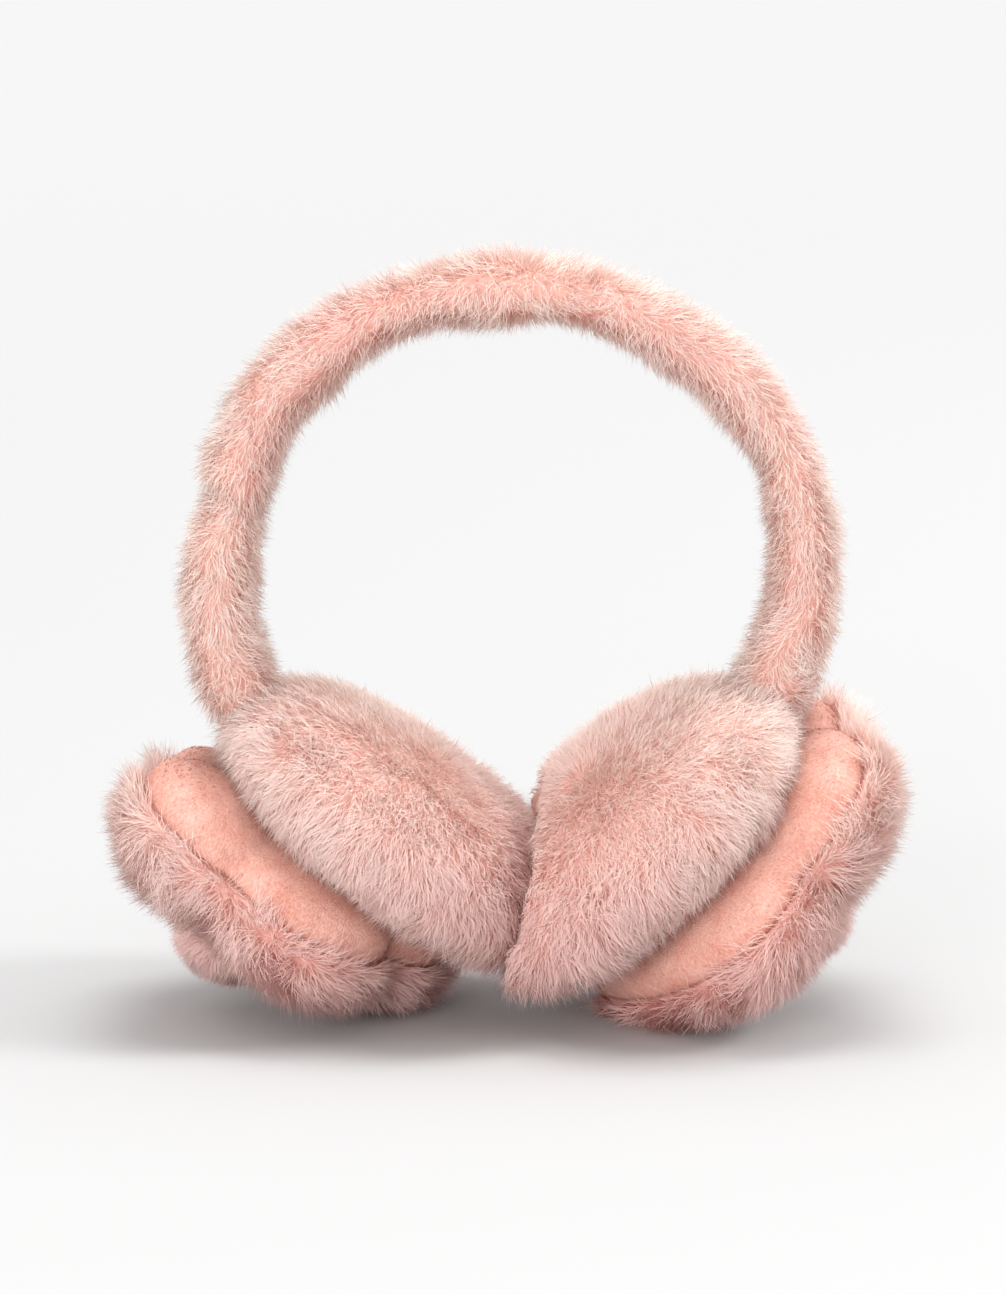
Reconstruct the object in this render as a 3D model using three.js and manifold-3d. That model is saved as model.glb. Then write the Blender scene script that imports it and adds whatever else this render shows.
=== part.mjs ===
// Fur earmuffs, standing by themselves: an arched headband in a fur sleeve, two round fur ear pads
// and, on the outside of each pad, a stuffed flower of five petals with a velour back, a fur front
// and a raised fur centre.
// Millimetres, +Z up, +X to the viewer's right, +Y away from the viewer. The origin is the middle
// of the floor under the part.
// Each ear is made in a frame of its own: +X out of the ear through the flower's centre, +Z up
// along the pad's face, and the flower's seam plane at X = 0.

import * as THREE from 'three';
import { mergeVertices } from 'three/addons/utils/BufferGeometryUtils.js';
import Module from 'manifold-3d';

const wasm = await Module();
wasm.setup();

// Clearance between pieces that touch
const clearance = 0.3;

// Headband
const bandRadius = 78.6;
const bandThickness = 18.9;
const bandDepth = 31;
const bandPile = 3.2;
const bandHeight = 117.5;
const bandSweep = 112;
const tongueLength = 26;
const tongueThickness = 7;
const tongueDepth = 17;

// Ear pads
const padRadius = 53;
const padPile = 5;
const padSquareness = 2.4;

// Flowers
const petals = 5;
const seamRadius = 51.5;
const petalNotch = 0.24;
const seamBend = 5;
const backHeight = 18;
const frontHeight = 27;
const frontOverhang = 8;
const frontPile = 5;
const petalCrease = 0.26;
const tuckedPetal = 120;
const centreRadius = 14.5;
const centreHeight = 39;
const centrePile = 3.5;

// The plane in which the pads press on each other leans to the right
const meetingHeight = 22;
const meetingLean = 13;

// The floor's height before the part is set down on it: fur below it is pressed flat
const floorHeight = -1.5;

// Slabs that cut at the floor and at the meeting plane, far wider than the part
const slabWidth = 400;
const slabThickness = 60;

// Place of each flower and pad, with degrees for face, lean, toe, spin and tilt. apart and drop: how
// far the pad's middle lies behind the flower's seam and below its middle. tilt: how much further
// the pad leans than the flower. thick: the pad's thickness, the right one being pressed harder.
// tuck: share by which the flower's far upper petal is folded in.
const ears = [
  {
    name: 'left', face: 180, lean: 54, toe: -2.6, spin: 12, x: -62.1, z: 41,
    apart: 28, drop: 19, tilt: 0, thick: 49, tuck: 0.24,
  },
  {
    name: 'right', face: 0, lean: 41, toe: 13, spin: 20, x: 59.7, z: 41.9,
    apart: 28.7, drop: 13.5, tilt: 4, thick: 46, tuck: 0,
  },
];

// Lumps and gathers of the fur sleeve. at: degrees from the top, to the right. thick: share of the
// sleeve's thickness. out: how far the middle moves out, as a share of that thickness.
const sleeve = [
  { at: -112, thick: 1.12, out: 0.05 },
  { at: -97, thick: 1.08, out: 0.04 },
  { at: -85, thick: 1.12, out: -0.01 },
  { at: -75, thick: 0.9, out: -0.07 },
  { at: -64, thick: 1.07, out: 0.04 },
  { at: -53, thick: 1.12, out: 0.12 },
  { at: -42, thick: 1.14, out: 0.07 },
  { at: -29, thick: 0.97, out: 0.07 },
  { at: -20, thick: 0.9, out: 0.03 },
  { at: -2, thick: 1.05, out: -0.02 },
  { at: 9, thick: 0.93, out: -0.01 },
  { at: 32, thick: 1.02, out: 0 },
  { at: 53, thick: 1, out: 0.07 },
  { at: 65, thick: 0.9, out: 0.11 },
  { at: 76, thick: 1, out: 0.03 },
  { at: 91, thick: 1.05, out: -0.01 },
  { at: 103, thick: 1.15, out: -0.1 },
  { at: 112, thick: 1.15, out: -0.12 },
];

// Rows of locks on each kind of fur. at: where the roots lie, from the first pole of the skin to
// the last. count: locks in the row. reach: how far the tips lie beyond the roots, in the same unit.
const padLocks = [
  { at: 0.07, count: 5, reach: 0.19 },
  { at: 0.21, count: 10, reach: 0.18 },
  { at: 0.35, count: 13, reach: 0.17 },
  { at: 0.49, count: 14, reach: 0.15 },
];
const petalLocks = [
  { at: 0.86, count: 10, reach: -0.2 },
  { at: 0.68, count: 15, reach: -0.22 },
];
const centreLocks = [{ at: 0.88, count: 6, reach: -0.28 }];
const bandLocks = { first: 0.12, last: 0.88, rows: 15, round: 5, reach: 0.05 };

const fur = { color: '#dfb0a4', roughness: 0.95, metalness: 0 };
const velour = { color: '#f2ab93', roughness: 0.85, metalness: 0 };

const degrees = Math.PI / 180;
const lerp = THREE.MathUtils.lerp;
const clamp = THREE.MathUtils.clamp;
const smooth = (x) => THREE.MathUtils.smoothstep(x, 0, 1);

// A repeatable number from 0 to 1 for lock number i of a piece
function chance(i, seed) {
  const wave = Math.sin(i * 12.9898 + seed * 78.233) * 43758.5453;
  return wave - Math.floor(wave);
}

// A table's columns at a place between its rows
function between(table, at) {
  const i = clamp(table.findIndex((row) => row.at > at), 1, table.length - 1);
  const last = at >= table[table.length - 1].at;
  const a = last ? table[table.length - 2] : table[i - 1];
  const b = last ? table[table.length - 1] : table[i];
  const share = smooth(clamp((at - a.at) / (b.at - a.at), 0, 1));
  return { thick: lerp(a.thick, b.thick, share), out: lerp(a.out, b.out, share) };
}

function signedPower(x, power) {
  return Math.sign(x) * Math.abs(x) ** power;
}

// A closed solid from points and triangles, turned so that its faces point out
function solidFrom(points, triangles) {
  let volume = 0;
  for (const [a, b, c] of triangles) {
    volume += points[a].dot(new THREE.Vector3().crossVectors(points[b], points[c]));
  }
  const turned = volume < 0 ? triangles.map(([a, b, c]) => [a, c, b]) : triangles;
  return new wasm.Manifold(new wasm.Mesh({
    numProp: 3,
    vertProperties: new Float32Array(points.flatMap((p) => p.toArray())),
    triVerts: new Uint32Array(turned.flat()),
  }));
}

// A three.js geometry as a solid
function solidOf(geometry) {
  geometry.deleteAttribute('normal');
  geometry.deleteAttribute('uv');
  const merged = mergeVertices(geometry);
  return new wasm.Manifold(new wasm.Mesh({
    numProp: 3,
    vertProperties: merged.attributes.position.array,
    triVerts: new Uint32Array(merged.index.array),
  }));
}

function geometryOf(solid) {
  const mesh = solid.getMesh();
  const geometry = new THREE.BufferGeometry();
  geometry.setAttribute('position', new THREE.BufferAttribute(mesh.vertProperties, 3));
  geometry.setIndex(new THREE.BufferAttribute(mesh.triVerts, 1));
  geometry.computeVertexNormals();
  return geometry;
}

// A closed skin through point(t, a): t runs from pole to pole over the rings, a once round
function skin(point, rings, sides) {
  const points = [point(0, 0)];
  for (const t of rings) {
    for (let side = 0; side < sides; side++) points.push(point(t, (2 * Math.PI * side) / sides));
  }
  points.push(point(1, 0));
  const triangles = [];
  const last = points.length - 1;
  for (let side = 0; side < sides; side++) {
    const next = (side + 1) % sides;
    triangles.push([0, 1 + side, 1 + next]);
    for (let ring = 0; ring < rings.length - 1; ring++) {
      const low = 1 + ring * sides;
      const high = low + sides;
      triangles.push([low + side, high + side, high + next]);
      triangles.push([low + side, high + next, low + next]);
    }
    triangles.push([last - sides + next, last - sides + side, last]);
  }
  return solidFrom(points, triangles);
}

// The unit normal of an envelope at (t, a), pointing away from the envelope's inside
function normalAt(shape, t, a) {
  if (t === 0 || t === 1) {
    const inside = shape.inside(clamp(t, 0.05, 0.95));
    return shape.point(t, a).sub(inside).normalize();
  }
  const step = 0.004;
  const low = clamp(t, 3 * step, 1 - 3 * step);
  const along = shape.point(low + step, a).sub(shape.point(low - step, a));
  const round = shape.point(low, a + step).sub(shape.point(low, a - step));
  const normal = along.cross(round).normalize();
  const out = shape.point(low, a).sub(shape.inside(low));
  return normal.dot(out) < 0 ? normal.negate() : normal;
}

// The envelope pushed out by a distance, or in for a negative one
function offset(shape, distance) {
  return (t, a) => shape.point(t, a).addScaledVector(normalAt(shape, t, a), distance(t, a));
}

// The backing that the locks are rooted in: the envelope less the pile's depth there
function backing(shape) {
  return offset(shape, (t, a) => -shape.pile(t, a));
}

// One lock of fur: wide at its root under the backing, pointed at its tip on the envelope. grow
// thickens it all round.
function lock(shape, root, tip, width, seed, grow) {
  const ground = backing(shape);
  const normal = normalAt(shape, root.t, root.a);
  const middle = { t: (root.t + tip.t) / 2, a: (root.a + tip.a) / 2 };
  const start = ground(root.t, root.a).addScaledVector(normal, -0.3 * shape.pile(root.t, root.a));
  const end = shape.point(tip.t, tip.a);
  const waist = ground(middle.t, middle.a).lerp(shape.point(middle.t, middle.a), 0.45);
  const line = end.clone().sub(start).normalize();
  const side = new THREE.Vector3().crossVectors(line, normal).normalize();
  const up = new THREE.Vector3().crossVectors(side, line).normalize();
  const rise = width * lerp(0.22, 0.34, chance(seed, 5));
  const points = [];
  for (const [middlePoint, wide] of [[start, 1], [waist, 0.8]]) {
    const low = middlePoint.clone().addScaledVector(up, -grow);
    const reach = wide * width / 2 + 3 * grow;
    points.push(low.clone().addScaledVector(side, reach));
    points.push(middlePoint.clone().addScaledVector(up, wide * rise + 2 * grow));
    points.push(low.clone().addScaledVector(side, -reach));
  }
  points.push(end.addScaledVector(line, 3 * grow));
  const triangles = [[0, 1, 2]];
  for (let i = 0; i < 3; i++) {
    const next = (i + 1) % 3;
    triangles.push([i, 3 + i, 3 + next], [i, 3 + next, next], [3 + i, 6, 3 + next]);
  }
  return solidFrom(points, triangles);
}

// Fur: the backing with rows of locks fused to it
function furBody(shape, rows, seed) {
  return addLocks(skin(backing(shape), shape.rings, shape.sides), shape, rows, seed, 0);
}

// What neighbours are cut with: the backing and its locks, grown by the clearance
function furCut(shape, rows, seed) {
  const ground = offset(shape, (t, a) => clearance - shape.pile(t, a));
  const hull = skin(ground, shape.rings, shape.sides);
  return addLocks(hull, shape, rows, seed, clearance);
}

function addLocks(start, shape, rows, seed, grow) {
  let body = start;
  let number = 0;
  for (const row of rows) {
    for (let i = 0; i < row.count; i++) {
      number += 1;
      const a = row.turn + (2 * Math.PI * (i + 0.5 * chance(number, seed))) / row.count;
      const reach = row.reach * lerp(0.8, 1.15, chance(number, seed + 1));
      const drift = (chance(number, seed + 2) - 0.5) / row.count;
      const root = { t: row.at, a };
      const tip = { t: clamp(row.at + reach, 0.02, 0.98), a: a + drift };
      const near = shape.point(row.at, a);
      const far = shape.point(row.at, a + (2 * Math.PI) / row.count);
      const width = 1.05 * near.distanceTo(far);
      body = body.add(lock(shape, root, tip, clamp(width, 3, shape.widest), seed + number, grow));
    }
  }
  return body;
}

// Rows of a table, each started a half step round from the last
function staggered(table) {
  return table.map((row, i) => ({ ...row, turn: (i % 2) * Math.PI / row.count }));
}

// The headband's envelope: an arch whose two ends narrow to tongues that lie behind the pads
function headbandShape() {
  const arch = 2 * bandSweep * degrees * bandRadius;
  const whole = arch + 2 * tongueLength;
  const line = (t) => {
    const along = t * whole - whole / 2;
    const angle = clamp(along / bandRadius, -bandSweep * degrees, bandSweep * degrees);
    const past = along - angle * bandRadius;
    const row = between(sleeve, angle / degrees);
    const radius = bandRadius + row.out * bandThickness;
    const ending = smooth(Math.abs(past) / tongueLength);
    const narrow = smooth(Math.abs(past) / (0.6 * tongueLength));
    const x = radius * Math.sin(angle) + past * Math.cos(angle);
    const z = bandHeight + radius * Math.cos(angle) - past * Math.sin(angle);
    const out = new THREE.Vector3(Math.sin(angle), 0, Math.cos(angle));
    return {
      centre: new THREE.Vector3(x, 0, z),
      out,
      thick: lerp(row.thick * bandThickness, tongueThickness, narrow),
      deep: lerp(lerp(1, row.thick, 0.6) * bandDepth, tongueDepth, narrow),
      ending,
    };
  };
  const endCap = 0.012;
  return {
    widest: 11,
    sides: 8,
    rings: [0.003, ...Array.from({ length: 39 }, (_, i) => lerp(endCap, 1 - endCap, i / 38)), 0.997],
    inside: (t) => line(t).centre,
    pile: (t) => lerp(bandPile, 0, line(t).ending),
    point: (t, a) => {
      const here = line(t);
      const cap = Math.sqrt(1 - (1 - clamp(Math.min(t, 1 - t) / endCap, 0, 1)) ** 2);
      const round = signedPower(Math.cos(a), 0.85);
      const across = signedPower(Math.sin(a), 0.85);
      return here.centre
        .addScaledVector(here.out, cap * round * here.thick / 2)
        .add(new THREE.Vector3(0, cap * across * here.deep / 2, 0));
    },
  };
}

// The pad's envelope: a round cushion, from the middle of its ear side to the middle of its back
function padShape(ear) {
  return {
    widest: 15,
    sides: 20,
    rings: [0.1, 0.24, 0.36, 0.46, 0.56, 0.68, 0.82],
    inside: () => new THREE.Vector3(-ear.apart, 0, -ear.drop),
    pile: (t) => padPile * (1 - smooth((t - 0.62) / 0.2)),
    point: (t, a) => {
      const radius = padRadius * Math.sin(Math.PI * t) ** (2 / padSquareness);
      const rise = (ear.thick / 2) * signedPower(-Math.cos(Math.PI * t), 2 / padSquareness);
      return new THREE.Vector3(rise, radius * Math.cos(a), radius * Math.sin(a))
        .applyAxisAngle(new THREE.Vector3(0, 1, 0), ear.tilt * degrees)
        .add(new THREE.Vector3(-ear.apart, 0, -ear.drop));
    },
  };
}

// How full the flower is in direction a: 1 at a petal's middle, 0 between two petals
function petalFullness(a, ear) {
  return Math.abs(Math.sin((petals / 2) * (a - ear.spin * degrees))) ** 0.6;
}

// The flower's reach in direction a, as a share of its radius
function petalReach(a, ear) {
  const folded = ear.tuck * Math.max(0, Math.cos(a - tuckedPetal * degrees)) ** 3;
  return (1 - petalNotch * (1 - petalFullness(a, ear))) * (1 - folded);
}

// The seam between velour and fur is bent like the pad behind it
function seamRise(z) {
  return seamBend * (1 - (z / seamRadius) ** 2);
}

// One half of the flower. The skin starts in the middle of the seam face, runs out to the rim at
// t = 0.3 and back over the crown to its middle. way: -1 for the velour, 1 for the fur.
function flowerHalf(ear, way, radius, height, pile) {
  const rim = 0.3;
  return {
    widest: 13,
    sides: 30,
    rings: [0.15, 0.3, 0.36, 0.48, 0.62, 0.8],
    inside: () => new THREE.Vector3(seamBend + way * 0.3 * height, 0, 0),
    pile: (t) => pile * smooth((t - rim + 0.02) / 0.1),
    point: (t, a) => {
      const full = petalFullness(a, ear);
      const reach = radius * petalReach(a, ear);
      const share = t < rim ? t / rim : Math.cos((Math.PI / 2) * (t - rim) / (1 - rim)) ** 0.75;
      const crown = t < rim ? 0 : Math.sin((Math.PI / 2) * (t - rim) / (1 - rim)) ** 0.65;
      const crease = 1 - petalCrease * (1 - full) * smooth(share * 1.6);
      const y = reach * share * Math.cos(a);
      const z = reach * share * Math.sin(a);
      return new THREE.Vector3(seamRise(z) + way * (clearance / 2 + crown * crease * height), y, z);
    },
  };
}

// The flower's centre: a round tuft on the middle of the fur front
function centreShape() {
  const low = seamBend + 0.62 * frontHeight;
  const half = (centreHeight - low) / 2 + 1;
  return {
    widest: 9,
    sides: 10,
    rings: [0.18, 0.36, 0.52, 0.68, 0.84],
    inside: () => new THREE.Vector3(centreHeight - half, 0, 0),
    pile: (t) => centrePile * smooth((t - 0.2) / 0.2),
    point: (t, a) => {
      const radius = centreRadius * Math.sin(Math.PI * t) ** 0.85;
      const x = centreHeight - half - half * Math.cos(Math.PI * t);
      return new THREE.Vector3(x, radius * Math.cos(a), radius * Math.sin(a));
    },
  };
}

// A node of the part, without the loose crumbs of locks that a cut leaves behind
function piece(name, solid, finish) {
  const bodies = solid.decompose().sort((a, b) => b.volume() - a.volume());
  const mesh = new THREE.Mesh(geometryOf(bodies[0]), new THREE.MeshStandardMaterial(finish));
  mesh.name = name;
  return mesh;
}

const model = new THREE.Group();
const band = headbandShape();
const bandRows = [];
for (let i = 0; i < bandLocks.rows; i++) {
  const at = lerp(bandLocks.first, bandLocks.last, i / (bandLocks.rows - 1));
  const reach = at < 0.5 ? -bandLocks.reach : bandLocks.reach;
  bandRows.push({ at, count: bandLocks.round, reach, turn: i * 0.63 });
}
model.add(piece('headband', furBody(band, bandRows, 11), fur));

ears.forEach((ear, index) => {
  const group = new THREE.Group();
  group.position.set(ear.x, 0, ear.z);
  group.rotation.order = 'ZYX';
  group.rotation.set(0, ear.lean * degrees, (ear.face + ear.toe) * degrees);
  group.updateMatrixWorld(true);
  const inward = group.matrixWorld.clone().invert();
  const local = (geometry) => solidOf(geometry.applyMatrix4(inward));
  const side = ear.face === 0 ? 1 : -1;
  const bandCut = solidOf(geometryOf(furCut(band, bandRows, 11)).applyMatrix4(inward));
  const floor = local(new THREE.BoxGeometry(slabWidth, slabWidth, slabThickness)
    .translate(0, 0, floorHeight - slabThickness / 2));
  const middle = local(new THREE.BoxGeometry(slabThickness, slabWidth, slabWidth)
    .translate(-side * (slabThickness / 2 - clearance), 0, 0)
    .rotateY(meetingLean * degrees).translate(0, 0, meetingHeight));

  const padHull = padShape(ear);
  const padCut = furCut(padHull, staggered(padLocks), 20 + index);
  const pad = furBody(padHull, staggered(padLocks), 20 + index)
    .subtract(bandCut).subtract(middle).subtract(floor);
  group.add(piece(`ear_pad_${ear.name}`, pad, fur));

  const backHull = flowerHalf(ear, -1, seamRadius, backHeight, 0);
  const back = skin(backHull.point, backHull.rings, backHull.sides)
    .subtract(padCut).subtract(bandCut).subtract(floor);
  group.add(piece(`flower_back_${ear.name}`, back, velour));

  const frontHull = flowerHalf(ear, 1, seamRadius + frontOverhang, frontHeight, frontPile);
  const front = furBody(frontHull, staggered(petalLocks), 40 + index)
    .subtract(padCut).subtract(bandCut).subtract(floor);
  group.add(piece(`flower_front_${ear.name}`, front, fur));

  const centre = furBody(centreShape(), staggered(centreLocks), 60 + index)
    .subtract(furCut(frontHull, staggered(petalLocks), 40 + index)).subtract(floor);
  group.add(piece(`flower_centre_${ear.name}`, centre, fur));
  model.add(group);
});

// The origin goes to the middle of the floor under the part
const whole = new THREE.Box3().setFromObject(model, true);
const middle = whole.getCenter(new THREE.Vector3());
model.position.set(-middle.x, -middle.y, -whole.min.z);

export default model;
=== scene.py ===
"""Fur earmuffs, standing by themselves.

An arched headband in a fur sleeve joins two round fur ear pads. On the outside of each pad sits a
stuffed flower of five petals, with a velour back, a fur front and a raised fur centre.

Shapes are worked out in millimetres and written in metres. An ear has a frame of its own: +X out of
the ear through the flower's centre, +Z up along the pad's face, the flower's seam plane at X = 0.
"""

import math

import bmesh
import bpy
import numpy as np
from mathutils import Matrix, Vector, kdtree


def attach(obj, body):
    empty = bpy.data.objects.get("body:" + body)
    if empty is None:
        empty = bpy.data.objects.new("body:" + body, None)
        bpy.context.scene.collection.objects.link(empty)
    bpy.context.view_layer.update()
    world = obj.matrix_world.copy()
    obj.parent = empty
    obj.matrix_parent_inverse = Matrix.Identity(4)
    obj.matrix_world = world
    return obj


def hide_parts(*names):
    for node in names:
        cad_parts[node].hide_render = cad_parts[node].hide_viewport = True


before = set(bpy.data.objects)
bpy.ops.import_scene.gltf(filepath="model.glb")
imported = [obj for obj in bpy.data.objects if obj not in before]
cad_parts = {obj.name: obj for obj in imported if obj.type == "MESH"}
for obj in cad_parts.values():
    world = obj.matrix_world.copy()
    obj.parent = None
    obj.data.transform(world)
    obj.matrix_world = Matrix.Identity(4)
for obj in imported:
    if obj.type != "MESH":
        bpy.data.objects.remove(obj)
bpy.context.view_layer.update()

bl_info = {
    "name": "Fur Earmuffs",
    "version": (1, 0, 0),
    "blender": (4, 5, 0),
    "location": "View3D > Sidebar > Earmuffs",
    "description": "Builds fur earmuffs with plush flowers and their stage",
    "category": "Add Mesh",
}

MM = 0.001

# From the frame that the shapes are worked out in to the part's own origin
SHIFT = np.array([0.489, 0.897, 1.5])

# Headband
BAND_RADIUS = 78.6
BAND_THICKNESS = 18.9
BAND_DEPTH = 31.0
BAND_HEIGHT = 117.5
BAND_SWEEP = math.radians(112)
BAND_CAP = 0.012
TONGUE_LENGTH = 26.0
TONGUE_THICKNESS = 7.0
TONGUE_DEPTH = 17.0

# Ear pads
PAD_SQUARENESS = 2.4

# Flowers
PETALS = 5
SEAM_RADIUS = 51.5
PETAL_NOTCH = 0.24
SEAM_BEND = 5.0
BACK_HEIGHT = 18.0
FRONT_HEIGHT = 27.0
PETAL_CREASE = {-1: 0.12, 1: 0.24}
TUCKED_PETAL = math.radians(120)
RIM = 0.3
CENTRE_RADIUS = 14.5
CENTRE_HEIGHT = 39.0

# The plane in which the pads press on each other
MEETING_HEIGHT = 22.0
MEETING_LEAN = math.radians(13)

# Lowest that fur lies above the floor
FLOOR_CLEAR = 0.3

# How deep each backing lies under the fur's outline
BAND_GROUND = 3.2
EAR_SIDE_GROUND = 3.0
PAD_EDGE_GROUND = 5.5
PETAL_GROUND = 8.5
PETAL_OVERHANG = 1.2
CENTRE_GROUND = 5.0

# Strands on one piece
BAND_STRANDS = 58000
PAD_STRANDS = 74000
PETAL_STRANDS = 44000
CENTRE_STRANDS = 7000
NAP_STRANDS = 14000

# The seam's stitches
STITCHES = 280
STITCH_LENGTH = 1.3
STITCH_WIDTH = 0.3

# The lights: place and aim in metres, side in metres, power in watts
LIGHTS = {
    "key": ((2.2, -0.3, 1.6), (0, 0, 0.05), 0.7, 33.0),
    "front": ((-0.9, -2.3, 0.4), (0, 0, 0.1), 1.3, 54.0),
    "top": ((0.1, 0.2, 2.4), (0, 0, 0.1), 1.2, 28.0),
}

# The share of the floor's brightness that fades away from the lights, and how far off it does
LIT_SHARE = 0.4
LIT_REACH = 2.7

# Each ear: degrees for face, lean, toe, spin and tilt, millimetres for x, z, apart, drop, thick and
# wide, a share for tuck, and the notch that is stuffed shut: its angle and how far
EARS = {
    "left": {"face": 180, "lean": 54, "toe": -2.6, "spin": 12, "x": -62.1, "z": 41.0,
             "apart": 27.2, "drop": 19.0, "tilt": 0, "thick": 46.5, "wide": 56.5, "tuck": 0.18,
             "shut": (228, 0.4), "seed": 1},
    "right": {"face": 0, "lean": 41, "toe": 13, "spin": 26, "x": 59.7, "z": 41.9,
              "apart": 28.2, "drop": 13.5, "tilt": 8, "thick": 44.5, "wide": 57.5, "tuck": 0.0,
              "shut": (242, 0.75), "seed": 2},
}

# Lumps and gathers of the sleeve: degrees from the top, share of the thickness, and how far the
# middle moves out as a share of the thickness
SLEEVE = np.array([
    (-112, 1.12, 0.05), (-97, 1.08, 0.04), (-85, 1.12, -0.01), (-73, 0.88, -0.06),
    (-69, 1.12, 0.03), (-62, 1.07, 0.05), (-53, 1.12, 0.12), (-42, 1.14, 0.07), (-29, 0.97, 0.07),
    (-20, 0.9, 0.03), (-2, 1.05, -0.02), (9, 0.93, -0.01), (32, 1.02, 0.0),
    (53, 1.0, 0.07), (65, 0.9, 0.11), (76, 1.0, 0.03), (91, 1.05, -0.01),
    (103, 1.15, -0.1), (112, 1.15, -0.12),
])


# ---------------------------------------------------------------- small maths on arrays of points

def unit(v):
    """Vectors of length one."""
    return v / np.maximum(np.linalg.norm(v, axis=-1, keepdims=True), 1e-9)


def smooth(x):
    """Ease from 0 to 1."""
    x = np.clip(x, 0, 1)
    return x * x * (3 - 2 * x)


def signed_power(x, power):
    """A power that keeps the sign."""
    return np.sign(x) * np.abs(x) ** power


def mix(a, b, share):
    """From a to b."""
    return a + (b - a) * share


def turn_y(p, angle):
    """Points turned about Y, +X going down for a positive angle."""
    c, s = math.cos(angle), math.sin(angle)
    x, y, z = p[..., 0], p[..., 1], p[..., 2]
    return np.stack([x * c + z * s, y, z * c - x * s], axis=-1)


def turn_z(p, angle):
    """Points turned about Z."""
    c, s = math.cos(angle), math.sin(angle)
    x, y, z = p[..., 0], p[..., 1], p[..., 2]
    return np.stack([x * c - y * s, x * s + y * c, z], axis=-1)


def out_of_ear(ear, p):
    """From an ear's frame to the shapes' frame."""
    turned = turn_z(turn_y(p, math.radians(ear["lean"])), math.radians(ear["face"] + ear["toe"]))
    return turned + np.array([ear["x"], 0, ear["z"]])


def into_ear(ear, p):
    """From the shapes' frame to an ear's frame."""
    moved = p - np.array([ear["x"], 0, ear["z"]])
    faced = turn_z(moved, -math.radians(ear["face"] + ear["toe"]))
    return turn_y(faced, -math.radians(ear["lean"]))


def ripple(p, size, seed):
    """Smooth noise from about -1 to 1, with lumps of the given size."""
    rng = np.random.default_rng(seed)
    total = np.zeros(p.shape[:-1])
    for _ in range(7):
        direction = unit(rng.normal(size=3)) * rng.uniform(0.6, 1.5)
        total += np.sin(p @ direction * (2 * math.pi / size) / 1.6 + rng.uniform(0, 2 * math.pi))
    return total / 3.2


def wander(p, size, seed):
    """Smooth noise vectors."""
    return np.stack([ripple(p, size, seed + i) for i in range(3)], axis=-1)


# ---------------------------------------------------------------- the shapes, point(t, a, grow)

def sleeve_line(t):
    """The headband's middle line: centre, outward direction, thickness and depth."""
    arch = 2 * BAND_SWEEP * BAND_RADIUS
    along = t * (arch + 2 * TONGUE_LENGTH) - arch / 2 - TONGUE_LENGTH
    angle = np.clip(along / BAND_RADIUS, -BAND_SWEEP, BAND_SWEEP)
    past = along - angle * BAND_RADIUS
    place = np.clip(np.degrees(angle), SLEEVE[0, 0], SLEEVE[-1, 0] - 1e-6)
    row = np.clip(np.searchsorted(SLEEVE[:, 0], place, side="right") - 1, 0, len(SLEEVE) - 2)
    share = smooth((place - SLEEVE[row, 0]) / (SLEEVE[row + 1, 0] - SLEEVE[row, 0]))
    thick = mix(SLEEVE[row, 1], SLEEVE[row + 1, 1], share)
    move = mix(SLEEVE[row, 2], SLEEVE[row + 1, 2], share)
    radius = BAND_RADIUS + move * BAND_THICKNESS
    narrow = smooth(np.abs(past) / (0.6 * TONGUE_LENGTH))
    x = radius * np.sin(angle) + past * np.cos(angle)
    z = BAND_HEIGHT + radius * np.cos(angle) - past * np.sin(angle)
    centre = np.stack([x, np.zeros_like(x), z], axis=-1)
    out = np.stack([np.sin(angle), np.zeros_like(x), np.cos(angle)], axis=-1)
    deep = mix(mix(1, thick, 0.6) * BAND_DEPTH, TONGUE_DEPTH, narrow)
    return centre, out, mix(thick * BAND_THICKNESS, TONGUE_THICKNESS, narrow), deep


def band_point(t, a, grow):
    """The headband's sleeve, grown or shrunk."""
    centre, out, thick, deep = sleeve_line(t)
    cap = np.sqrt(1 - (1 - np.clip(np.minimum(t, 1 - t) / BAND_CAP, 0, 1)) ** 2)
    lift = cap * signed_power(np.cos(a), 0.85) * np.maximum(thick / 2 + grow, 1.5)
    side = cap * signed_power(np.sin(a), 0.85) * np.maximum(deep / 2 + grow, 1.5)
    p = centre + out * lift[..., None]
    p[..., 1] += side
    return p


def pad_point(ear):
    """The ear pad in its ear's frame, from the middle of its ear side to the middle of its back."""
    def point(t, a, grow):
        half = ear["thick"] / 2 + grow
        radius = (ear["wide"] + grow) * np.sin(math.pi * t) ** (2 / PAD_SQUARENESS)
        rise = half * signed_power(-np.cos(math.pi * t), 2 / PAD_SQUARENESS)
        p = np.stack([rise, radius * np.cos(a), radius * np.sin(a)], axis=-1)
        return turn_y(p, math.radians(ear["tilt"])) + np.array([-ear["apart"], 0, -ear["drop"]])
    return point


def pad_ground(ear):
    """The pad's backing, under a pile that is shorter on the ear side."""
    point = placed(ear, pad_point(ear))
    return lambda t, a, grow: point(
        t, a, grow - mix(EAR_SIDE_GROUND, PAD_EDGE_GROUND, smooth((t - 0.2) / 0.2)))


def fullness(a, ear):
    """1 at a petal's middle, 0 between two petals."""
    spin = math.radians(ear["spin"])
    full = (0.98 * np.sin((PETALS / 2) * (a - spin)) ** 2 + 0.02) ** 0.35
    place, share = ear["shut"]
    return mix(full, 1.0, share * np.exp((np.cos(a - math.radians(place)) - 1) / 0.08))


def petal_reach(a, ear):
    """The flower's reach as a share of its radius, one petal being folded in."""
    folded = ear["tuck"] * np.maximum(np.cos(a - TUCKED_PETAL), 0) ** 3
    return (1 - PETAL_NOTCH * (1 - fullness(a, ear))) * (1 - folded)


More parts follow.
